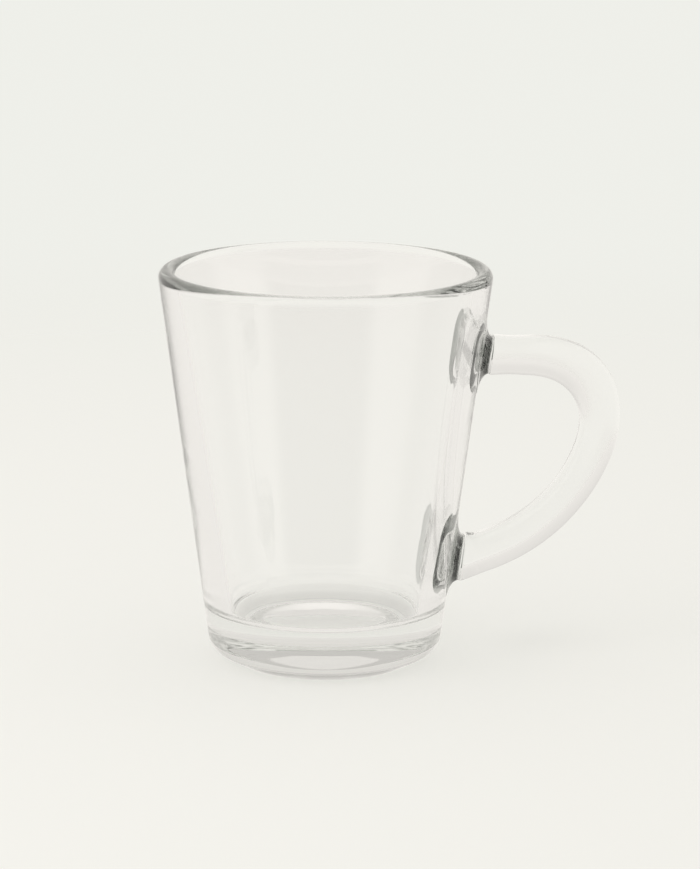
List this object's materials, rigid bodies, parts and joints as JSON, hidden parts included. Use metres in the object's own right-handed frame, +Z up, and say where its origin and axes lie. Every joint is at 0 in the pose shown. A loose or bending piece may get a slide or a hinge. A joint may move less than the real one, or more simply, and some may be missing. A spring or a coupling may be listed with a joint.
{
  "type": "glass coffee cup",
  "caption": "Clear conical glass cup with a thick base and a D-shaped glass handle fused to its wall at two flared necks.",
  "frame": {"origin": "centre of the foot ring, on the plane of the table", "axes": "+Z up along the axis of the cup, +X towards the handle, +Y to the back when the handle is on the right"},
  "size_m": [0.1043, 0.075, 0.09],
  "materials": {
    "clear_glass": "fire-polished clear soda-lime glass, smooth and glossy"
  },
  "bodies": {
    "root": {"bowl": "clear_glass", "handle": "clear_glass", "upper_joint": "clear_glass", "lower_joint": "clear_glass"}
  },
  "joints": []
}
